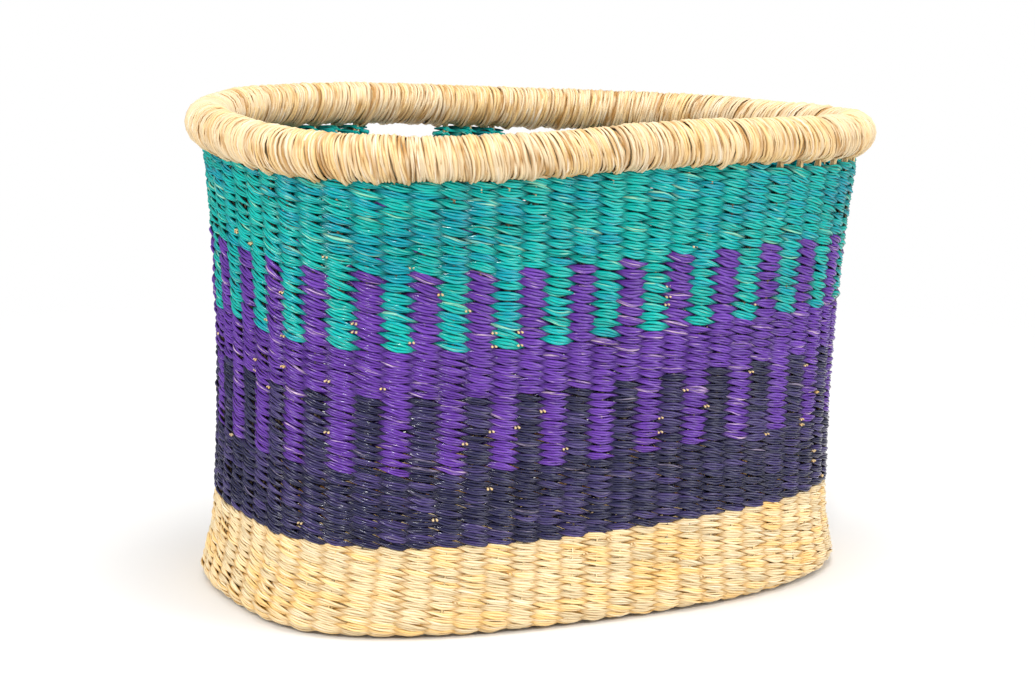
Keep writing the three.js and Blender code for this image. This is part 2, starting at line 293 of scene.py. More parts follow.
class Tree:
    """A node tree that is put together a node at a time."""

    def __init__(self, nodes):
        self.nodes = nodes

    def add(self, kind, inputs=None, **settings):
        node = self.nodes.nodes.new(kind)
        for name, value in settings.items():
            setattr(node, name, value)
        for name, value in (inputs or {}).items():
            self.put(value, node.inputs[name])
        return node

    def put(self, value, socket):
        if isinstance(value, Field):
            self.nodes.links.new(value.socket, socket)
        else:
            socket.default_value = value

    def get(self, kind, inputs=None, output=0, **settings):
        return Field(self, self.add(kind, inputs, **settings).outputs[output])

    def join(self, operation, first, second):
        vectors = [isinstance(value, Field) and value.is_vector() for value in (first, second)]
        if not any(vectors):
            return self.math(operation, first, second)
        if operation == "MULTIPLY" and not all(vectors):
            vector, scale = (first, second) if vectors[0] else (second, first)
            return self.vector("SCALE", {0: vector, "Scale": scale})
        return self.vector(operation, {0: first, 1: second})

    def math(self, operation, *values):
        return self.get("ShaderNodeMath", dict(enumerate(values)), operation=operation)

    def vector(self, operation, inputs, output=0):
        return self.get("ShaderNodeVectorMath", inputs, output, operation=operation)

    def mix(self, low, high, share):
        return low + share * (high - low)

    def combine(self, x, y, z):
        return self.get("ShaderNodeCombineXYZ", {"X": x, "Y": y, "Z": z})

    def spread(self, value, low, high, to_low, to_high, curve="LINEAR"):
        ends = {"Value": value, "From Min": low, "From Max": high, "To Min": to_low, "To Max": to_high}
        return self.get("ShaderNodeMapRange", ends, interpolation_type=curve)

    def noise(self, spot, scale, detail, w=None):
        inputs = {"Vector": spot, "Scale": scale, "Detail": detail}
        if w is not None:
            inputs["W"] = w
        return self.get("ShaderNodeTexNoise", inputs, noise_dimensions="3D" if w is None else "4D")


class GeometryTree(Tree):
    """A Geometry Nodes tree with named inputs."""

    def __init__(self, name, **inputs):
        super().__init__(bpy.data.node_groups.new(name, "GeometryNodeTree"))
        face = self.nodes.interface
        face.new_socket("Geometry", in_out="OUTPUT", socket_type="NodeSocketGeometry")
        face.new_socket("Geometry", in_out="INPUT", socket_type="NodeSocketGeometry")
        for title, kind in inputs.items():
            face.new_socket(title.replace("_", " ").title(), in_out="INPUT", socket_type=kind)
        self.entry = self.add("NodeGroupInput")
        self.guide = Field(self, self.entry.outputs[0])

    def size(self, title):
        return Field(self, self.entry.outputs[title.replace("_", " ").title()])

    def attribute(self, name, kind="FLOAT"):
        return self.get("GeometryNodeInputNamedAttribute", {"Name": name}, data_type=kind)

    def store(self, geometry, name, value, kind="FLOAT"):
        inputs = {"Geometry": geometry, "Name": name, "Value": value}
        return self.get("GeometryNodeStoreNamedAttribute", inputs, data_type=kind, domain="POINT")

    def random(self, identity, seed, low=0.0, high=1.0):
        inputs = {2: low, 3: high, "ID": identity, "Seed": seed}
        return self.get("FunctionNodeRandomValue", inputs, 1, data_type="FLOAT")

    def tube(self, line, sides, radius, flat=(1.0, 1.0, 1.0)):
        """Sweeps a rounded section along a line. Each point of it knows where round the tube it is."""
        circle = {"Resolution": sides, "Radius": SECTION_RADIUS}
        section = self.get("GeometryNodeCurvePrimitiveCircle", circle)
        spot = self.get("GeometryNodeInputPosition")
        section = self.store(section, "round", spot, "FLOAT_VECTOR")
        flattened = self.vector("MULTIPLY", {0: spot, 1: flat})
        section = self.get("GeometryNodeSetPosition", {"Geometry": section, "Position": flattened})
        inputs = {"Curve": line, "Profile Curve": section, "Scale": radius, "Fill Caps": True}
        return self.get("GeometryNodeCurveToMesh", inputs)

    def finish(self, mesh, material):
        mesh = self.get("GeometryNodeRealizeInstances", {"Geometry": mesh})
        mesh = self.get("GeometryNodeSetShadeSmooth", {"Geometry": mesh, "Shade Smooth": True})
        mesh = self.get("GeometryNodeSetMaterial", {"Geometry": mesh, "Material": material})
        leave = self.add("NodeGroupOutput")
        self.put(mesh, leave.inputs[0])
        return self.nodes


def made(name, guide, tree, sizes, slot, *nodes):
    """Runs a tree on a guide mesh and keeps the result as a piece that stands for CAD nodes."""
    carrier = bpy.data.objects.new(name + "_guide", guide)
    bpy.context.scene.collection.objects.link(carrier)
    modifier = carrier.modifiers.new("made", "NODES")
    modifier.node_group = tree
    for item in tree.interface.items_tree:
        if item.in_out == "INPUT" and item.name in sizes:
            modifier[item.identifier] = sizes[item.name]
    depsgraph = bpy.context.evaluated_depsgraph_get()
    mesh = bpy.data.meshes.new_from_object(
        carrier.evaluated_get(depsgraph), preserve_all_data_layers=True, depsgraph=depsgraph
    )
    bpy.data.objects.remove(carrier)
    bpy.data.meshes.remove(guide)
    mesh.name = name
    piece = bpy.data.objects.new(name, mesh)
    bpy.context.scene.collection.objects.link(piece)
    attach(piece, "root")
    if nodes:
        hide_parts(*nodes)


# Form of the basket


def bearing(x, y):
    return np.arctan2(x, -y)


def rim_rise(at):
    return (
        RISE_FRONT * np.cos(at)
        - DROP_RIGHT * np.sin(at)
        + RISE_MIDDLES * np.cos(2 * at)
        + RISE_CORNERS * np.sin(2 * at)
    )


def girth_at(height):
    above_waist = (height - WAIST_HEIGHT) / (WALL_TOP - WAIST_HEIGHT)
    into_belly = np.maximum(0, 1 - height / BELLY_HEIGHT)
    return WAIST_GIRTH_SHARE + TOP_FLARE_SHARE * above_waist**2 + BELLY_GIRTH_SHARE * into_belly**2


def signed_power(value, power):
    return np.sign(value) * np.abs(value) ** power


def place(turn, girth, inset, height, shrink=0.0):
    """Points of the plan, as the solid model places them. Shrink draws the plan in towards its long
    middle line, as the rows of the floor do."""
    sine = np.sin(turn)
    cosine = np.cos(turn)
    squareness = np.where(cosine > 0, FRONT_SQUARENESS, BACK_SQUARENESS)
    mean_depth = (FRONT_DEPTH + BACK_DEPTH) / 2 * girth
    left = 1 - shrink / mean_depth
    across = RIM_SPAN / 2 * girth - shrink
    along = np.where(cosine > 0, FRONT_DEPTH, BACK_DEPTH) * girth * left
    x = across * signed_power(sine, 2 / squareness)
    y = -along * signed_power(cosine, 2 / squareness)
    slope_x = signed_power(x / across, squareness - 1) / across
    slope_y = signed_power(y / along, squareness - 1) / along
    length = np.hypot(slope_x, slope_y)
    normal_x = slope_x / length
    normal_y = slope_y / length
    y = y + (BACK_DEPTH - FRONT_DEPTH) / 2 * girth * (1 - left)

    at = bearing(x, y)
    climb = np.minimum(height, WALL_TOP) / WALL_TOP
    pull = (FOOT_PULL + (RIM_PULL - FOOT_PULL) * climb) * np.sin(2 * at) * left
    reach = np.maximum(np.hypot(x, y), LEAST_REACH)
    x = x * (1 + pull / reach) - inset * normal_x + LEAN_RIGHT * climb
    y = y * (1 + pull / reach) - inset * normal_y - LEAN_FRONT * climb
    row_rise = ROW_RISE_CORNERS * np.sin(2 * at) * 4 * climb * (1 - climb)
    z = height + rim_rise(at) * climb**2 + row_rise
    return np.stack([x, y, z * np.ones_like(x)], -1)


def even_turns(girth, height):
    """The turn at each share of a plan's length, and that length."""
    turns = np.linspace(0, 2 * np.pi, PLAN_POINTS)
    points = place(turns, girth, 0, height)
    lengths = np.concatenate([[0], np.cumsum(np.linalg.norm(np.diff(points, axis=0), axis=1))])

    def turn_at(share):
        rounds = np.floor(share)
        return np.interp((share - rounds) * lengths[-1], lengths, turns) + rounds * 2 * np.pi

    return turn_at, lengths[-1]


WALL_TURN_AT, _ = even_turns(girth_at(NAVY_TEETH_TOP), NAVY_TEETH_TOP)
RIM_TURN_AT, RIM_LENGTH = even_turns(1, RIM_HEIGHT)


def column_share(column):
    turn = column / COLUMNS * 2 * np.pi
    return (
        column / COLUMNS
        + COLUMN_SHIFT_SHARE
        + COLUMN_BUNCH_SHARE * np.cos(turn)
        + COLUMN_DRIFT_SHARE * np.sin(turn)
        + COLUMN_SPREAD_SHARE * np.sin(2 * turn)
        + COLUMN_STRETCH_SHARE * np.cos(2 * turn)
    )


def rim_middle():
    """How far the middle of the rim lies from the plan's origin. The CAD box has it at zero."""
    ring = place(np.linspace(0, 2 * np.pi, PLAN_POINTS), 1, 0, RIM_HEIGHT)
    low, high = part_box("rim_wrap")
    middle = (ring.max(0) + ring.min(0)) / 2
    packed = (np.array(high) + np.array(low)) / 2 / MM
    return np.array([middle[0] - packed[0], middle[1] - packed[1], 0])


SHIFT = rim_middle()


# Lines that the twining follows


def unit(vectors):
    return vectors / np.maximum(np.linalg.norm(vectors, axis=-1, keepdims=True), 1e-9)


class Lines:
    """Lines of points with what a tree needs to know at each point."""

    def __init__(self):
        self.points = []
        self.edges = []
        self.facts = {}
        self.count = 0

    def add(self, points, closed, **facts):
        size = len(points)
        here = np.arange(self.count, self.count + size)
        ends = np.roll(here, -1)
        pairs = np.stack([here, ends], 1)
        self.edges.append(pairs if closed else pairs[:-1])
        self.points.append(points)
        for name, value in facts.items():
            value = np.asarray(value, float)
            shape = (size, 3) if name in ("out", "up", "tones") else (size,)
            self.facts.setdefault(name, []).append(np.broadcast_to(value, shape))
        self.count += size

    def mesh(self, name):
        points = (np.concatenate(self.points) - SHIFT) * MM
        mesh = bpy.data.meshes.new(name)
        mesh.from_pydata(points.tolist(), np.concatenate(self.edges).tolist(), [])
        for fact, values in self.facts.items():
            values = np.concatenate(values)
            kind = "FLOAT_VECTOR" if values.ndim == 2 else "FLOAT"
            attribute = mesh.attributes.new(fact, kind, "POINT")
            field = "vector" if values.ndim == 2 else "value"
            attribute.data.foreach_set(field, values.astype(np.float32).ravel())
        return mesh


def profile(level):
    """Where the middle of the wall's thickness runs at a level. From 0 up the level is a height
    over the turned-under foot, and from 0 down to -1 it goes round that foot."""
    half = WALL_THICKNESS / 2
    angle = np.clip(level + 1, 0, 1) * np.pi / 2
    inset = FOOT_TUCK - (FOOT_TUCK - half) * np.sin(angle)
    height = FOOT_RISE - (FOOT_RISE - half) * np.cos(angle)
    return inset, height + np.maximum(level, 0)


def on_wall(column, level, thickness_off=0.0):
    inset, height = profile(level)
    turn = WALL_TURN_AT(column_share(column))
    return place(turn, girth_at(np.maximum(height, FOOT_RISE)), inset - thickness_off, height)


def on_floor(column, shrink):
    """A point of the floor, whose rows run round inside the foot, each drawn in further."""
    turn = WALL_TURN_AT(column_share(column))
    return place(turn, girth_at(FOOT_RISE), 0, WALL_THICKNESS / 2, shrink)


def add_row(lines, path, level, pitch, row, first=0.0, last=COLUMNS, columns=COLUMNS, fine=6):
    """One row of twining along a path, all round or from one column to another."""
    closed = last - first >= columns
    count = int(round((last - first) * fine))
    column = first + np.arange(count if closed else count + 1) / fine
    stretch = COLUMNS / columns
    points = path(column * stretch, level)
    along = path((column + ROW_STEP) * stretch, level) - path((column - ROW_STEP) * stretch, level)
    up = path(column * stretch, level + ROW_STEP) - path(column * stretch, level - ROW_STEP)
    out = unit(np.cross(along, up))
    up = unit(np.cross(out, along))
    loose = np.ones_like(column)
    if not closed:
        loose = np.clip(np.minimum(column - first, last - column) * 2, 0, 1)
    lines.add(
        points, closed, out=out, up=up, column=column, columns=columns, row=row, pitch=pitch, loose=loose
    )


def zone_levels(bottom, top, rows):
    pitch = (top - bottom) / rows
    return [(bottom - FOOT_RISE + pitch * (i + 0.5), pitch) for i in range(rows)]


# Twining


def twining_tree(name, stems, sides):
    """Twists strands of grass round the stakes. Each strand is a few stems side by side, which draw
    together where it dives between two stakes and lie flat where it crosses one."""
    tree = GeometryTree(
        name,
        first_strand="NodeSocketInt",
        strands="NodeSocketInt",
        swing="NodeSocketFloat",
        fullness="NodeSocketFloat",
        grass="NodeSocketMaterial",
    )
    lines = tree.get("GeometryNodeMeshToCurve", {"Mesh": tree.guide})
    copies = tree.add(
        "GeometryNodeDuplicateElements",
        {"Geometry": lines, "Amount": tree.size("strands") * stems},
        domain="SPLINE",
    )
    lines = Field(tree, copies.outputs[0])
    number = Field(tree, copies.outputs[1])
    whole = tree.math("FLOOR", number / stems + 0.01)
    strand = whole + tree.size("first_strand")
    stem = number - whole * stems - (stems - 1) / 2

    column = tree.attribute("column")
    columns = tree.attribute("columns")
    row = tree.attribute("row")
    pitch = tree.attribute("pitch")
    loose = tree.attribute("loose")
    out = tree.attribute("out", "FLOAT_VECTOR")
    up = tree.attribute("up", "FLOAT_VECTOR")

    phase = tree.math("WRAP", (column + strand) * math.pi, math.pi, -math.pi)
    away = tree.math("ABSOLUTE", phase)
    spent = away / STITCH_END
    front = tree.math("MAXIMUM", 1 - spent * 0.2 - spent * spent * 0.57, 0.2)
    back = tree.spread(away, STITCH_END, math.pi, 0.2, 1.0)
    lens = tree.math("MAXIMUM", front, back)
    crossing = tree.spread(phase, -STITCH_END, STITCH_END, -1.0, 1.0)
    crossing = crossing * tree.spread(away, STITCH_END, math.pi, 1.0, 0.0)
    facing = tree.math("COSINE", away)
    bulge = tree.math("MINIMUM", facing * 0.7 + 0.3, facing * 2.4 + 1.4)

    round_turn = column * (2 * math.pi) / columns

    def on_ring(size, height):
        """A place on a ring, where noise meets itself again after a round of the basket."""
        return tree.combine(
            tree.math("COSINE", round_turn) * size, tree.math("SINE", round_turn) * size, height
        )

    ring = on_ring(DRIFT_RING, row * 2.3)
    wander = tree.add(
        "ShaderNodeTexNoise",
        {"Vector": ring, "W": strand * 5.3 + stem * 1.7, "Scale": 1.0, "Detail": 1.0},
        noise_dimensions="4D",
    )
    drift = tree.vector("SUBTRACT", {0: Field(tree, wander.outputs["Color"]), 1: (0.5, 0.5, 0.5)})
    parts = tree.add("ShaderNodeSeparateXYZ", {0: drift})
    drift_x, drift_y, drift_z = (Field(tree, parts.outputs[i]) for i in range(3))
    sway = tree.noise(on_ring(SWAY_RING, row * 0.3), 1.0, 1.0) - 0.5

    stitch = tree.math("ROUND", (column - strand) / 2) * 2 + strand
    stitch = tree.math("MODULO", stitch + columns, columns)
    identity = row * columns + stitch
    stem_identity = identity * stems + stem + 1

    full = tree.size("fullness") * tree.random(identity, 19, 0.98, 1.13)
    apart = pitch * lens * full * APART_SHARE
    twist = crossing * 0.9 + drift_z * 1.6 + tree.random(identity, 23, -0.6, 0.6)
    out_off = (
        tree.size("swing") * bulge
        + apart * stem * tree.math("SINE", twist) * 0.8
        - stem * stem * bulge * pitch * LIE_BACK_SHARE
        + drift_x * (STEM_DRIFT * MM)
    )
    up_off = (
        -pitch * crossing * tree.random(identity, 29, *SLANT_SHARES)
        + apart * stem * tree.math("COSINE", twist)
        + drift_y * pitch * STRAY_SHARE
        + sway * pitch * SWAY_SHARE
    )
    offset = (out * out_off + up * up_off) * loose
    lines = tree.get("GeometryNodeSetPosition", {"Geometry": lines, "Offset": offset})

    tone = tree.random(identity, 3)
    stem_tone = tree.random(stem_identity, 7)
    chance = tree.random(stem_identity, 11)
    lines = tree.store(lines, "tones", tree.combine(tone, stem_tone, chance), "FLOAT_VECTOR")
    # How far each point bulges out, which the grass material turns into painted shade where a strand dives
    # between the stakes.
    lines = tree.store(lines, "depth", bulge * 1.05 - 0.3)
    run = column * COLUMN_RUN + row * ROW_RUN + stem * STEM_RUN
    lines = tree.store(lines, "run", run)

    radius = pitch * tree.mix(THIN_SHARE, FULL_SHARE, lens) * (1 + drift_z * 0.9) * full
    normal = {"Curve": lines, "Normal": out}
    lines = tree.get("GeometryNodeSetCurveNormal", normal, mode="FREE")
    mesh = tree.tube(lines, sides, radius)
    return tree.finish(mesh, tree.size("grass"))


def strand_tree():
    """Gives a line of points its body, as thick at each point as the point says."""
    tree = GeometryTree(
        "strand", sides="NodeSocketInt", flatness="NodeSocketFloat", grass="NodeSocketMaterial"
    )
    lines = tree.get("GeometryNodeMeshToCurve", {"Mesh": tree.guide})
    normal = {"Curve": lines, "Normal": tree.attribute("out", "FLOAT_VECTOR")}
    lines = tree.get("GeometryNodeSetCurveNormal", normal, mode="FREE")
    flat = tree.combine(tree.size("flatness"), 1.0, 1.0)
    mesh = tree.tube(lines, tree.size("sides"), tree.attribute("thick"), flat)
    return tree.finish(mesh, tree.size("grass"))


def twined(name, tree, rows, grass, slot, nodes, strands=(0, 2), fullness=1.0, swing=WALL_SWING):
    """One piece of twining on the wall. Rows are (level, pitch, number) and where they start and end,
    unless they go all round."""
    lines = Lines()
    for level, pitch, number, *span in rows:
        add_row(lines, on_wall, level, pitch * MM, number, *span)
    sizes = {
        "First Strand": strands[0],
        "Strands": strands[1],
        "Swing": swing * MM,
        "Fullness": fullness,
        "Grass": grass,
    }
    made(name, lines.mesh(name), tree, sizes, slot, *nodes)


def floor_rows(straw, first_number):
    """The floor is twined round and round from the foot to its middle line, where stakes are left out
    as the rows get shorter."""
    lines = Lines()
    for i in range(FLOOR_ROWS):
        shrink = FLOOR_START + i * FLOOR_ROW_PITCH
        columns = COLUMNS if shrink < FLOOR_THINS_AT else COLUMNS // 2
        pitch = FLOOR_ROW_PITCH * MM
        add_row(lines, on_floor, shrink, pitch, first_number + i, 0.0, columns, columns, 4)
    tree = twining_tree("floor_twining", 2, 4)
    sizes = {
        "First Strand": 0,
        "Strands": 2,
        "Swing": FLOOR_SWING * MM,
        "Fullness": FLOOR_FULLNESS_SHARE,
        "Grass": straw,
    }
    made("floor_rows", lines.mesh("floor_rows"), tree, sizes, "natural_straw", "base_floor")


# Strands whose whole route is worked out here


def wobble(generator, at, every, size):
    """A smooth random value along a length, new every so often."""
    knots = np.arange(np.min(at) - every, np.max(at) + 2 * every, every)
    return np.interp(at, knots, generator.uniform(-size, size, len(knots)))


def rim_places(share):
    """Where the rim's middle runs, and which way is outwards there."""
    turn = RIM_TURN_AT(share)
    middle = place(turn, 1, 0, RIM_HEIGHT)
    return middle, unit(middle - place(turn, 1, OUTWARD_STEP, RIM_HEIGHT))


def rim_bundle(tree, straw):
    """The bundle of stems inside the rim, which shows through the slits of its winding."""
    lines = Lines()
    share = np.arange(BUNDLE_POINTS) / BUNDLE_POINTS
    middle, out = rim_places(share)
    # The bundle's low depth gives it painted shade, as it lies under the winding.
    lines.add(
        middle, True,
        out=out, thick=BUNDLE_RADIUS * MM, tones=(0.3, 0.4, 0.2),
        run=share * BUNDLE_RUN, depth=-0.2,
    )
    sizes = {"Sides": 16, "Flatness": 1.0, "Grass": straw}
    made("rim_bundle", lines.mesh("rim_bundle"), tree, sizes, "stake_straw", "rim_core")


def rim_winding(tree, straw):
    """A strand of two stems side by side, wound round the rim. It leans, gathers and sags towards the
    holes between the wall's columns, and lies in lumps, each as long as one length of straw lasts."""
    generator = np.random.default_rng(21)
    lines = Lines()
    coil = np.arange(RIM_TURNS * STEPS_A_TURN + 1) / STEPS_A_TURN
    angle = 2 * np.pi * coil
    height = np.sin(angle)
    along = coil / RIM_TURNS * RIM_LENGTH

    ends = np.cumsum(generator.uniform(*LUMP_LENGTHS, LUMP_ENDS))
    lump = np.searchsorted(ends, along)
    to_seam = np.min(np.abs(along[:, None] - ends[None, :]), axis=1)
    seam = np.exp(-((to_seam / SEAM_WIDTH) ** 2))
    lump_tone = generator.uniform(0, 1, LUMP_DRAWS)[lump]
    lump_lean = generator.uniform(-LUMP_LEAN, LUMP_LEAN, LUMP_DRAWS)[lump]
    lump_swell = generator.uniform(-LUMP_SWELL, LUMP_SWELL, LUMP_DRAWS)[lump]

    column_pitch = RIM_LENGTH / COLUMNS
    to_hole = (along / column_pitch + 0.5) * 2 * np.pi
    under = np.maximum(0, -height)
    gather = -0.5 * column_pitch / (2 * np.pi) * np.sin(to_hole) * under**2
    deepest = STRAND_SAG + wobble(generator, coil, 3, SAG_CHANGE)
    sag = deepest * (0.5 + 0.5 * np.cos(to_hole)) ** 2 * under**4
    lean = (STRAND_LEAN + lump_lean) * height
    pitch = RIM_LENGTH / RIM_TURNS

    for stem in range(RIM_STEMS):
        whole = np.floor(coil + 0.5).astype(int)
        stem_tone = generator.uniform(0, 1, RIM_TURNS + 2)[whole]
        chance = generator.uniform(0, 1, RIM_TURNS + 2)[whole]
        lift = wobble(generator, coil, 0.1, STRAND_LIFT)
        drift = stem / RIM_STEMS * pitch + wobble(generator, coil, 0.2, STRAND_DRIFT)
        width = STRAND_WIDTH / 2 * (1 + wobble(generator, coil, 0.21, WIDTH_CHANGE_SHARE))
        share = WINDING_START_SHARE + (along + gather - lean + drift) / RIM_LENGTH
        middle, out = rim_places(share)
        radius = RIM_RADIUS - STRAND_SINK + lift + lump_swell - SEAM_DEPTH * seam + sag
        radial = out * np.cos(angle)[:, None] + np.array([0, 0, 1]) * height[:, None]
        # Painted shade: the tone drops at the seams between lumps, and the depth darkens a stem where it
        # lies low under its neighbours and in the seams.
        tone = 0.3 + 0.35 * lump_tone + 0.25 * stem_tone - 0.3 * seam
        lines.add(
            middle + radial * radius[:, None], False,
            out=radial, thick=width * MM, tones=np.stack([tone, stem_tone, chance], 1),
            run=coil * WINDING_RUN, depth=0.35 + 1.3 * lift - seam,
        )
    sizes = {"Sides": 4, "Flatness": STRAND_FLATNESS_SHARE, "Grass": straw}
    made("rim_winding", lines.mesh("rim_winding"), tree, sizes, "rim_straw", "rim_wrap")


def slot_columns():
    return [column for first, last in SLOT_COLUMNS for column in range(first, last + 1)]


def wall_between_slots():
    """From where to where, in columns, the wall runs on beside the slots."""
    (first, last), (next_first, next_last) = SLOT_COLUMNS
    return [(last + 0.5, next_first - 0.5), (next_last + 0.5, COLUMNS + first - 0.5)]


def stakes(tree, straw):
    """A bundle of stems stands in each column, from the foot up into the rim or to a slot's floor."""
    generator = np.random.default_rng(4)
    lines = Lines()
    for column in range(COLUMNS):
        top = WALL_TOP - SLOT_DEPTH if column in slot_columns() else RIM_HEIGHT - RIM_RADIUS / 2
        level = np.linspace(-1, top - FOOT_RISE, STAKE_POINTS)
        for stem in range(STAKE_STEMS):
            around = (stem + generator.uniform(-0.2, 0.2)) / STAKE_STEMS * 2 * np.pi
            off = STAKE_STEM_RADIUS * (np.sin(around) - STEM_INWARD_SHARE)
            points = on_wall(column + STEM_ASIDE_SHARE * np.cos(around), level, off)
            out = unit(on_wall(column, level, OUTWARD_STEP) - on_wall(column, level))
            tones = (generator.uniform(0.3, 1), generator.uniform(0, 1), generator.uniform(0, 1))
            # Painted shade: the stems are darkened in patches where they stand among the dyed rows, less
            # in the straw rows, and hardly at all where they show under the rim.
            patchy_shade_depth = wobble(generator, level, STAKE_PATCH, 1.0) - 1.0
            depth = np.where(profile(level)[1] > WALL_TOP - STAKE_SHOWS, 1.4, patchy_shade_depth)
            depth = np.where(level < STRAW_TOP - FOOT_RISE, patchy_shade_depth + 1.5, depth)
            lines.add(
                points, False, out=out, thick=STAKE_STEM_RADIUS * MM,
                tones=tones, run=level * MM + column, depth=depth,
            )
    nodes = ["stake_%02d" % (i + 1) for i in range(COLUMNS // 2)]
    sizes = {"Sides": 5, "Flatness": 1.0, "Grass": straw}
    made("standing_stakes", lines.mesh("standing_stakes"), tree, sizes, "stake_straw", *nodes)


def slot_bindings(tree, grass):
    """A strand wound round the wall's end at both sides of each slot."""
    generator = np.random.default_rng(8)
    lines = Lines()
    coil = np.arange(BINDING_TURNS * BINDING_STEPS + 1) / BINDING_STEPS
    angle = 2 * np.pi * coil
    bottom = WALL_TOP - SLOT_DEPTH - FOOT_RISE
    for first, last in SLOT_COLUMNS:
        for edge, side in ((first - 0.5, -1), (last + 0.5, 1)):
            level = bottom + coil / BINDING_TURNS * SLOT_DEPTH
            column = edge + side * (BINDING_ASIDE_SHARE + BINDING_WIDTH_SHARE * np.cos(angle))
            off = WALL_THICKNESS / 2 * BINDING_DEPTH_SHARE * np.sin(angle)
            points = on_wall(column, level, off)
            centre = on_wall(edge + side * BINDING_ASIDE_SHARE, level)
            tones = np.stack([wobble(generator, coil, 1, 0.5) + 0.5] * 3, 1)
            # The depth gives painted shade to the side of each turn that faces in towards the wall's end.
            lines.add(
                points, False, out=unit(points - centre), thick=BINDING_RADIUS * MM,
                tones=tones, run=coil * BINDING_RUN, depth=0.8,
            )
    sizes = {"Sides": 6, "Flatness": 0.7, "Grass": grass}
    made("slot_bindings", lines.mesh("slot_bindings"), tree, sizes, "teal_grass", "teal_band")


def trimmed_ends(tree, straw):
    """Where a stem was used up, its end and the next one's start stick out side by side."""
    generator = np.random.default_rng(15)
    lines = Lines()
    for _ in range(TRIMMED_PAIRS):
        column = generator.integers(COLUMNS) + 0.5
        level = generator.uniform(TRIMMED_LOWEST, WALL_TOP - FOOT_RISE - SLOT_DEPTH)
        reach = generator.uniform(*TRIMMED_REACHES)
        for side in (-1, 1):
            beside = column + side * TRIMMED_ASIDE_SHARE
            start = on_wall(beside, level, TRIMMED_ROOT)
            tip = on_wall(beside + side * TRIMMED_SPLAY_SHARE, level - TRIMMED_DROOP, reach)
            points = np.stack([start, (start + tip) / 2, tip])
            tones = (generator.uniform(0.1, 0.6), generator.uniform(0, 1), 0.5)
            # The depth rises from root to tip, so painted shade darkens each end where it leaves the wall.
            lines.add(
                points, False, out=(0, 0, 1), thick=TRIMMED_RADIUS * MM,
                tones=tones, run=column, depth=np.array([-0.5, 0.4, 1.0]),
            )
    sizes = {"Sides": 6, "Flatness": 0.8, "Grass": straw}
    made("trimmed_ends", lines.mesh("trimmed_ends"), tree, sizes, "natural_straw")


# Materials


def dye(red, green, blue):
    """A colour as seen on a screen, from 0 to 255, as the light that a shader works with."""
    share = np.array([red, green, blue]) / 255
    linear = np.where(share <= 0.04045, share / 12.92, ((share + 0.055) / 1.055) ** 2.4)
    return (*linear.tolist(), 1.0)


def grass(name, main, other, deep, bleached, bleach_share, roughness, crease):
    """Grass stems: each stitch has its own tone, patches lean to a second dye, the dye misses thin
    streaks, and painted shade darkens what lies deep, the sides that face inwards and the creases between
    stems."""
    material = bpy.data.materials.new(name)
    material.use_nodes = True
    tree = Tree(material.node_tree)
    nodes = material.node_tree.nodes
    shader = nodes["Principled BSDF"]

    tones = tree.add("ShaderNodeAttribute", attribute_name="tones")
    parts = tree.add("ShaderNodeSeparateXYZ", {0: Field(tree, tones.outputs["Vector"])})
    tone, stem_tone, chance = (Field(tree, parts.outputs[i]) for i in range(3))
    around = tree.get("ShaderNodeAttribute", output="Vector", attribute_name="round")
    run = tree.get("ShaderNodeAttribute", output="Fac", attribute_name="run")
    depth = tree.get("ShaderNodeAttribute", output="Fac", attribute_name="depth")
    spot = tree.get("ShaderNodeTexCoord", output="Object")

    fibre_at = tree.combine(0.0, 0.0, run * FIBRE_WAVES) + around * 1.6
    fibre = tree.noise(fibre_at, 1.0, 3.0, w=stem_tone * 40)
    patch = tree.noise(spot, PATCH_WAVES, 2.0)
    lean = tree.spread(patch + (tone - 0.5) * 0.5 + (stem_tone - 0.5) * 0.3, 0.45, 0.78, 0.0, 1.0)

    def blend(share, low, high):
        node = tree.add("ShaderNodeMix", {0: share}, data_type="RGBA")
        tree.put(low, node.inputs[6])
        tree.put(high, node.inputs[7])
        return Field(tree, node.outputs[2])

    colour = blend(lean, main, other)
    shade = 0.74 + tone * 0.34 + stem_tone * 0.14 + (fibre - 0.5) * 0.5
    node = tree.add("ShaderNodeVectorMath", {0: colour, "Scale": shade}, operation="SCALE")
    colour = Field(tree, node.outputs[0])
    streak_at = tree.combine(0.0, 0.0, run * STREAK_WAVES) + around * 2.2
    streak = tree.noise(streak_at, 1.0, 1.0, w=chance * 30)
    picked = tree.spread(chance, 1 - bleach_share * 2, 1.0, 0.0, 0.22)
    missed = tree.spread(streak + picked, 0.68, 0.76, 0.0, 0.85)
    colour = blend(missed, colour, bleached)
    # Painted shade: the shade colour is blended in where a point lies deep, where a stem's side faces
    # inwards, and in the creases between stems; points with a depth above 1, such as the stakes under the
    # rim, get less of it.
    sides = tree.add("ShaderNodeSeparateXYZ", {0: around})
    outward = Field(tree, sides.outputs[0])
    exposed = depth * tree.spread(outward, -0.3, 0.3, -1.0, 1.0)
    exposed = tree.math("MAXIMUM", exposed, (depth - 1) * 3)
    painted_buried_shade = tree.spread(exposed, -0.5, 0.55, 0.9, 0.0)
    painted_crease_shade = tree.spread(tree.math("ABSOLUTE", outward), -0.2, 0.8, crease, 0.0)
    painted_crease_shade = painted_crease_shade * tree.spread(depth, 0.8, 1.4, 1.0, 0.3)
    colour = blend(tree.math("MAXIMUM", painted_buried_shade, painted_crease_shade), colour, deep)
    tree.put(colour, shader.inputs["Base Color"])
    tree.put(tree.spread(fibre, 0.3, 0.7, roughness - 0.08, roughness + 0.14), shader.inputs["Roughness"])
    relief = {"Height": fibre, "Strength": 0.35, "Distance": FIBRE_HEIGHT * MM}
    bump = tree.add("ShaderNodeBump", relief)
    tree.put(Field(tree, bump.outputs[0]), shader.inputs["Normal"])
    shader.inputs["Specular IOR Level"].default_value = 0.5
    return material


def plain(name, colour, roughness):
    material = bpy.data.materials.new(name)
    material.use_nodes = True
    shader = material.node_tree.nodes["Principled BSDF"]
    shader.inputs["Base Color"].default_value = colour
    shader.inputs["Roughness"].default_value = roughness
    return material


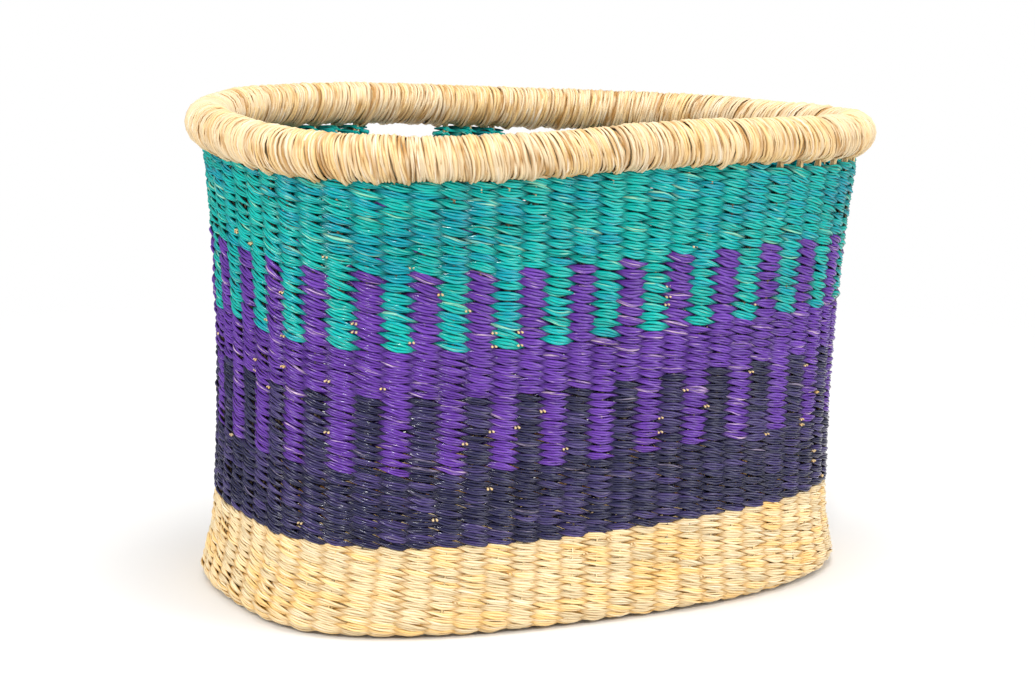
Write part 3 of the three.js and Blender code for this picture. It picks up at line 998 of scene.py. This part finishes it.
def paper():
    """White paper that takes the shadow and thins out into the white behind it."""
    material = plain("paper", (0.82, 0.81, 0.795, 1), 0.9)
    tree = Tree(material.node_tree)
    nodes = material.node_tree.nodes
    spot = tree.get("ShaderNodeTexCoord", output="Object")
    away = tree.vector("LENGTH", {0: spot}, "Value")
    share = tree.spread(away, PAPER_FADE_START * MM, PAPER_FADE_END * MM, 0.0, 1.0, "SMOOTHSTEP")
    clear = tree.add("ShaderNodeBsdfTransparent")
    mix = tree.add("ShaderNodeMixShader", {0: share})
    material.node_tree.links.new(nodes["Principled BSDF"].outputs[0], mix.inputs[1])
    material.node_tree.links.new(clear.outputs[0], mix.inputs[2])
    material.node_tree.links.new(mix.outputs[0], nodes["Material Output"].inputs["Surface"])
    return material


# Camera and light


def camera():
    """Stands where the photographer did, turned and tilted as the photograph's outlines show."""
    data = bpy.data.cameras.new("camera")
    data.lens = CAMERA_LENS
    data.sensor_width = SENSOR_WIDTH
    data.clip_end = SIGHT_END * MM
    spot = Vector(CAMERA_PLACE) - Vector(SHIFT)
    view = Vector(
        (
            math.sin(HEADING) * math.cos(DIP),
            math.cos(HEADING) * math.cos(DIP),
            -math.sin(DIP),
        )
    )
    obj = bpy.data.objects.new("camera", data)
    bpy.context.scene.collection.objects.link(obj)
    turn = view.to_track_quat("-Z", "Y").to_matrix().to_4x4()
    obj.matrix_world = Matrix.Translation(spot * MM) @ turn @ Matrix.Rotation(ROLL, 4, "Z")
    bpy.context.scene.camera = obj


def lamp(name, spot, aim, width, power):
    data = bpy.data.lights.new(name, "AREA")
    data.shape = "RECTANGLE"
    data.size = width * MM
    data.size_y = width * MM
    data.energy = power
    obj = bpy.data.objects.new(name, data)
    bpy.context.scene.collection.objects.link(obj)
    turn = (Vector(aim) - Vector(spot)).to_track_quat("-Z", "Y").to_matrix().to_4x4()
    obj.matrix_world = Matrix.Translation(Vector(spot) * MM) @ turn


def studio():
    world = bpy.data.worlds.new("studio")
    bpy.context.scene.world = world
    world.use_nodes = True
    tree = Tree(world.node_tree)
    background = world.node_tree.nodes["Background"]
    background.inputs["Color"].default_value = (1, 1, 1, 1)
    path = tree.add("ShaderNodeLightPath")
    camera_ray, glossy_ray, clear_ray = (
        Field(tree, path.outputs[title])
        for title in ("Is Camera Ray", "Is Glossy Ray", "Is Transmission Ray")
    )
    seen = tree.math("MAXIMUM", camera_ray, clear_ray)
    strength = tree.mix(tree.mix(SKY_LIGHT, SKY_IN_GLOSS, glossy_ray), SKY_SEEN, seen)
    tree.put(strength, background.inputs["Strength"])

    half = PAPER_HALF * MM
    mesh = bpy.data.meshes.new("floor")
    corners = [(-half, -half, 0), (half, -half, 0), (half, half, 0), (-half, half, 0)]
    mesh.from_pydata(corners, [], [(0, 1, 2, 3)])
    floor = bpy.data.objects.new("floor", mesh)
    bpy.context.scene.collection.objects.link(floor)
    mesh.materials.append(paper())

    for name, (spot, aim, width, power) in LAMPS.items():
        lamp(name, spot, aim, width, power)


def main():
    camera()
    studio()
    # In each grass below, the deep colour is painted shade, and crease sets how much painted shade fills
    # the creases between stems.
    straw = grass(
        "natural_straw",
        main=dye(245, 223, 178),
        other=dye(238, 200, 132),
        deep=dye(178, 126, 34),
        bleached=dye(252, 240, 212),
        bleach_share=0.2,
        roughness=0.36,
        crease=0.85,
    )
    navy = grass(
        "navy_grass",
        main=dye(44, 43, 78),
        other=dye(70, 58, 110),
        deep=dye(4, 4, 16),
        bleached=dye(150, 136, 160),
        bleach_share=0.02,
        roughness=0.15,
        crease=1.4,
    )
    purple = grass(
        "purple_grass",
        main=dye(112, 63, 174),
        other=dye(88, 46, 142),
        deep=dye(18, 10, 54),
        bleached=dye(226, 196, 214),
        bleach_share=0.05,
        roughness=0.17,
        crease=1.25,
    )
    teal = grass(
        "teal_grass",
        main=dye(0, 190, 178),
        other=dye(0, 150, 164),
        deep=dye(0, 46, 50),
        bleached=dye(170, 228, 186),
        bleach_share=0.06,
        roughness=0.15,
        crease=1.4,
    )
    stem_straw = grass(
        "stake_straw",
        main=dye(240, 214, 160),
        other=dye(222, 186, 124),
        deep=dye(36, 22, 12),
        bleached=dye(250, 234, 194),
        bleach_share=0.2,
        roughness=0.5,
        crease=1.8,
    )
    rim_straw = grass(
        "rim_straw",
        main=dye(236, 212, 172),
        other=dye(226, 192, 134),
        deep=dye(186, 134, 60),
        bleached=dye(246, 234, 214),
        bleach_share=0.2,
        roughness=0.44,
        crease=0.55,
    )

    tree = twining_tree("wall_twining", 3, 5)
    strand = strand_tree()
    number = iter(range(1000))

    def zone(bottom, top, rows):
        return [(level, pitch, next(number)) for level, pitch in zone_levels(bottom, top, rows)]

    foot = [((i + 0.5) / FOOT_ROWS - 1, FOOT_ROW_PITCH, next(number)) for i in range(FOOT_ROWS)]
    straw_rows = zone(FOOT_RISE, STRAW_TOP, STRAW_ROWS)
    navy_rows = zone(STRAW_TOP, NAVY_TOP, NAVY_ROWS)
    tooth_rows = zone(NAVY_TOP, NAVY_TEETH_TOP, NAVY_TEETH_ROWS)
    purple_rows = zone(NAVY_TEETH_TOP, PURPLE_TOP, PURPLE_ROWS)
    teal_tooth_rows = zone(PURPLE_TOP, TEAL_TEETH_TOP, TEAL_TEETH_ROWS)
    teal_rows = zone(TEAL_TEETH_TOP, WALL_TOP, TEAL_ROWS)
    whole_rows = teal_rows[:-SLOT_ROWS]
    cut_rows = [row + span for row in teal_rows[-SLOT_ROWS:] for span in wall_between_slots()]
    level, pitch, _ = teal_rows[-1]
    edge_row = next(number)
    cut_rows.append((level + pitch, pitch, edge_row, *EDGE_ROW_COLUMNS))
    thin = pitch * THIN_ROW_SHARE
    cut_rows += [(level + (pitch + thin) / 2, thin, edge_row, *span) for span in THIN_EDGE_ROW_COLUMNS]
    pale_row = [(level + 1.5 * pitch, thin, next(number), *PALE_ROW_COLUMNS)]

    floor_rows(straw, next(number) + 100)
    low_rows = foot + straw_rows[:3]
    straw_look = {"fullness": STRAW_FULLNESS_SHARE, "swing": STRAW_SWING}
    twined("straw_foot_rows", tree, low_rows, straw, "natural_straw", ["natural_band"], **straw_look)
    twined("straw_rows", tree, straw_rows[3:], straw, "natural_straw", ["natural_band"], **straw_look)
    twined("navy_rows_lower", tree, navy_rows[:5], navy, "navy_grass", ["navy_band"])
    twined("navy_rows_upper", tree, navy_rows[5:], navy, "navy_grass", ["navy_band"])
    twined("navy_tooth_strands", tree, tooth_rows, navy, "navy_grass", ["navy_band"], (0, 1))
    twined("purple_tooth_strands", tree, tooth_rows, purple, "purple_grass", ["purple_band"], (1, 1))
    twined("purple_rows", tree, purple_rows, purple, "purple_grass", ["purple_band"])
    twined("purple_stripe_strands", tree, teal_tooth_rows, purple, "purple_grass", ["purple_band"], (0, 1))
    twined("teal_tooth_strands", tree, teal_tooth_rows, teal, "teal_grass", ["teal_band"], (1, 1))
    twined("teal_rows_lower", tree, whole_rows, teal, "teal_grass", ["teal_band"])
    twined("teal_rows_at_slots", tree, cut_rows, teal, "teal_grass", ["teal_band"])
    twined("pale_edge_strands", tree, pale_row, straw, "natural_straw", [])
    slot_bindings(strand, teal)
    stakes(strand, stem_straw)
    trimmed_ends(strand, straw)
    rim_bundle(strand, stem_straw)
    rim_winding(strand, rim_straw)

    bpy.context.scene.view_settings.view_transform = "Standard"
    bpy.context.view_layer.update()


main()
